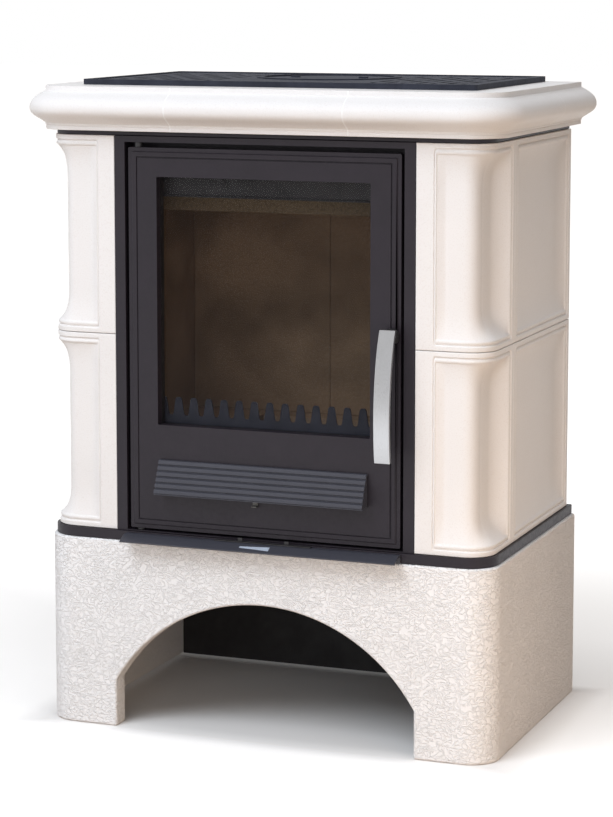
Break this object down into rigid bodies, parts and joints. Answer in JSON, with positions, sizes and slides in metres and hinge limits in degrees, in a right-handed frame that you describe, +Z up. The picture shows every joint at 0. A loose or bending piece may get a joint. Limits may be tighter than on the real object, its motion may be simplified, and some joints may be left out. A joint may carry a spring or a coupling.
{
  "type": "tiled wood stove",
  "caption": "Free-standing wood stove clad in concave glazed tiles, with a glazed door on a hinge, air sliders, a tiled cornice, a cast top plate and a plinth with an arched wood store.",
  "frame": {"origin": "centre of the footprint on the floor, under the middle of the bounding box", "axes": "+Z up, +Y to the back of the stove, the door on the -Y side, +X to the right seen from the front"},
  "size_m": [0.86, 0.556, 1.0889],
  "materials": {
    "render": "white textured plaster render",
    "glaze": "cream white gloss glaze",
    "black_paint": "matt black stove paint",
    "cast_iron": "matt graphite grey",
    "bright_steel": "brushed stainless steel",
    "dark_steel": "black heat-proof paint on sheet steel",
    "fireclay": "unglazed fireclay",
    "vermiculite": "pressed vermiculite board",
    "window_glass": "heat-proof ceramic glass",
    "rope": "braided glass fibre rope"
  },
  "bodies": {
    "stove": {"plinth": "render", "corner_tile_lower_left": "glaze", "corner_tile_lower_right": "glaze", "corner_tile_upper_left": "glaze", "corner_tile_upper_right": "glaze", "side_tile_lower_left": "glaze", "side_tile_lower_right": "glaze", "side_tile_upper_left": "glaze", "side_tile_upper_right": "glaze", "cornice_front": "glaze", "cornice_corner_left": "glaze", "cornice_corner_right": "glaze", "cornice_rear_left": "glaze", "cornice_rear_right": "glaze", "base_tray": "black_paint", "spacer_frame": "black_paint", "surround_frame": "black_paint", "sill": "black_paint", "top_plate": "cast_iron", "flue_lid": "cast_iron", "grate": "cast_iron", "hinge_pin_bottom": "bright_steel", "hinge_pin_top": "bright_steel", "sill_mark": "bright_steel", "wood_store_back_panel": "dark_steel", "latch_keeper": "dark_steel", "body_casing": "dark_steel", "body_front": "dark_steel", "body_back": "dark_steel", "body_top": "dark_steel", "hearth_shelf": "dark_steel", "flue_collar": "dark_steel", "rear_flue_spigot": "dark_steel", "rear_cover": "dark_steel", "rear_rail": "dark_steel", "ash_pan": "dark_steel", "side_brick_front_left": "fireclay", "side_brick_front_right": "fireclay", "side_brick_rear_left": "fireclay", "side_brick_rear_right": "fireclay", "back_brick_left": "fireclay", "back_brick_right": "fireclay", "floor_brick_left": "fireclay", "floor_brick_right": "fireclay", "floor_brick_front": "fireclay", "floor_brick_back": "fireclay", "baffle": "vermiculite"},
    "door": {"door_casting": "black_paint", "door_glass": "window_glass", "glass_retainer": "dark_steel", "door_seal": "rope", "louvre_grille": "black_paint", "log_comb": "cast_iron", "air_deflector": "dark_steel"},
    "handle": {"handle_lever": "bright_steel", "handle_spindle": "dark_steel", "latch_cam": "dark_steel"},
    "primary_air": {"primary_air_slider": "dark_steel"},
    "secondary_air": {"secondary_air_slider": "bright_steel"}
  },
  "joints": [
    {"name": "door_hinge", "type": "hinge", "parent": "stove", "child": "door", "pos_m": [-0.222, -0.21648, 0.664], "axis": [0, 0, -1], "range_deg": [0, 110]},
    {"name": "handle_turn", "type": "hinge", "parent": "door", "child": "handle", "pos_m": [0.2238, -0.21798, 0.689], "axis": [0, 1, 0], "range_deg": [0, 60]},
    {"name": "primary_air_slide", "type": "slide", "parent": "stove", "child": "primary_air", "axis": [1, 0, 0], "range_m": [-0.025, 0.025]},
    {"name": "secondary_air_slide", "type": "slide", "parent": "door", "child": "secondary_air", "axis": [1, 0, 0], "range_m": [-0.02, 0.02]}
  ]
}
